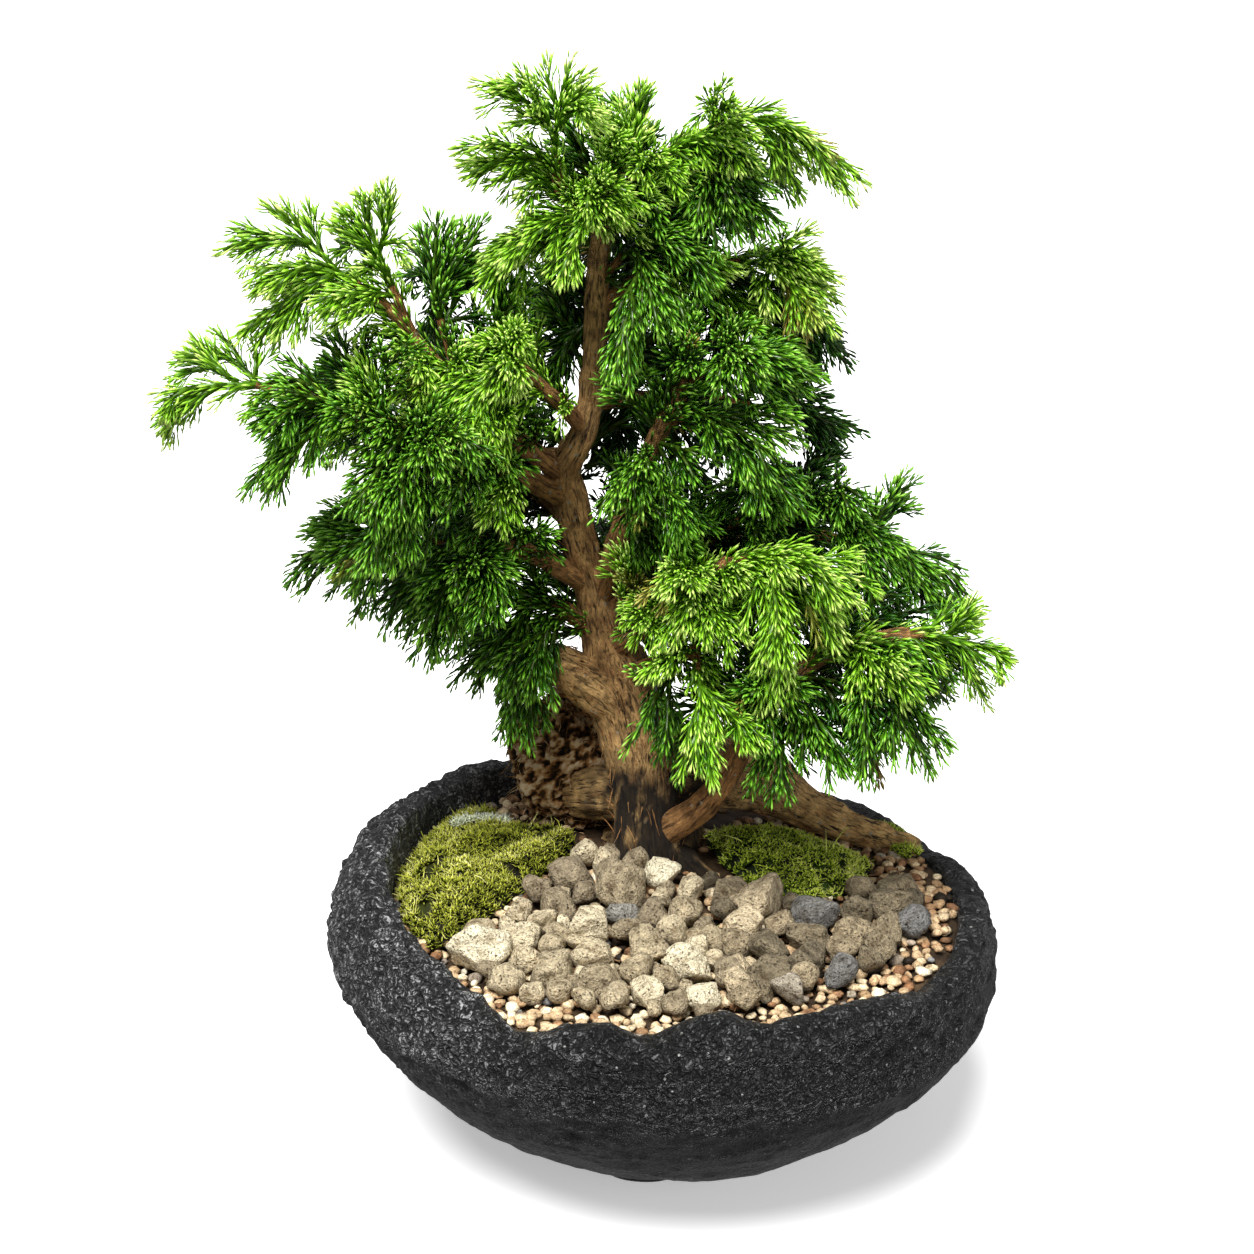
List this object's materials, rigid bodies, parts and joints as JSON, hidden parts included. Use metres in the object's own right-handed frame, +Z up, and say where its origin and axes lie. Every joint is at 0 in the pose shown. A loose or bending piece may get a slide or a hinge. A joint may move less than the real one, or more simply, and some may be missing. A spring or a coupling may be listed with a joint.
{
  "type": "conifer bonsai in a bowl",
  "caption": "Small conifer bonsai with a bare twisted stem and short-needled sprays, set with pumice and moss in a round, dark stoneware bowl on low feet.",
  "frame": {"origin": "middle of the whole outline's footprint, on the surface that the bowl's feet rest on", "axes": "+Z up, -Y towards the viewer of the bonsai's front, +X to that viewer's right"},
  "size_m": [0.269, 0.222, 0.3592],
  "materials": {
    "stoneware": "rough pitted charcoal stoneware with no glaze",
    "mesh_plastic": "matt dark green mesh",
    "soil": "dark crumbly potting soil",
    "tan_grit": "fine tan grit",
    "cream_pumice": "rough porous cream pumice",
    "grey_pumice": "rough porous grey pumice",
    "moss_left": "soft olive moss",
    "moss_right": "soft green moss with yellow tips",
    "peat": "fibrous dark brown peat",
    "bark": "fibrous reddish grey-brown bark",
    "needles_bright": "satin yellow-green needles",
    "needles_fresh": "satin mid green needles",
    "needles_deep": "satin dark green needles"
  },
  "bodies": {
    "root": {"bowl": "stoneware", "drain_mesh": "mesh_plastic", "soil": "soil", "gravel": "tan_grit", "pale_stones": "cream_pumice", "grey_stones": "grey_pumice", "moss_left": "moss_left", "moss_right": "moss_right", "peat_lump": "peat", "trunk": "bark", "spray_crown_top": "needles_bright", "spray_crown_left": "needles_bright", "spray_crown_right": "needles_bright", "spray_crown_front": "needles_bright", "spray_top_right": "needles_bright", "spray_upper_right": "needles_bright", "spray_bright": "needles_bright", "spray_bright_left": "needles_bright", "spray_apron": "needles_bright", "spray_upper_left": "needles_bright", "spray_upper_left_up": "needles_bright", "spray_left_tip": "needles_bright", "spray_front": "needles_bright", "spray_crown_back": "needles_fresh", "spray_top_under": "needles_fresh", "spray_upper_right_front": "needles_fresh", "spray_right_limb_top": "needles_fresh", "spray_right_limb_side": "needles_fresh", "spray_right_limb_hang": "needles_fresh", "spray_right_mid": "needles_fresh", "spray_right_mid_front": "needles_fresh", "spray_right_mid_in": "needles_fresh", "spray_apron_left": "needles_fresh", "spray_low_tip": "needles_fresh", "spray_low_middle": "needles_fresh", "spray_low_inner": "needles_fresh", "spray_upper_left_mid": "needles_fresh", "spray_upper_left_in": "needles_fresh", "spray_left_low": "needles_fresh", "spray_left_up": "needles_fresh", "spray_left_front": "needles_fresh", "spray_lower_left": "needles_fresh", "spray_lower_left_down": "needles_fresh", "spray_pendant": "needles_fresh", "spray_pendant_front": "needles_fresh", "spray_upper_right_low": "needles_deep", "spray_right_back": "needles_deep", "spray_right_back_up": "needles_deep", "spray_right_mid_back": "needles_deep", "spray_low_back": "needles_deep", "spray_back_left": "needles_deep", "spray_back_left_up": "needles_deep", "spray_back_left_low": "needles_deep", "spray_back_top": "needles_deep", "spray_back_low": "needles_deep"}
  },
  "joints": []
}
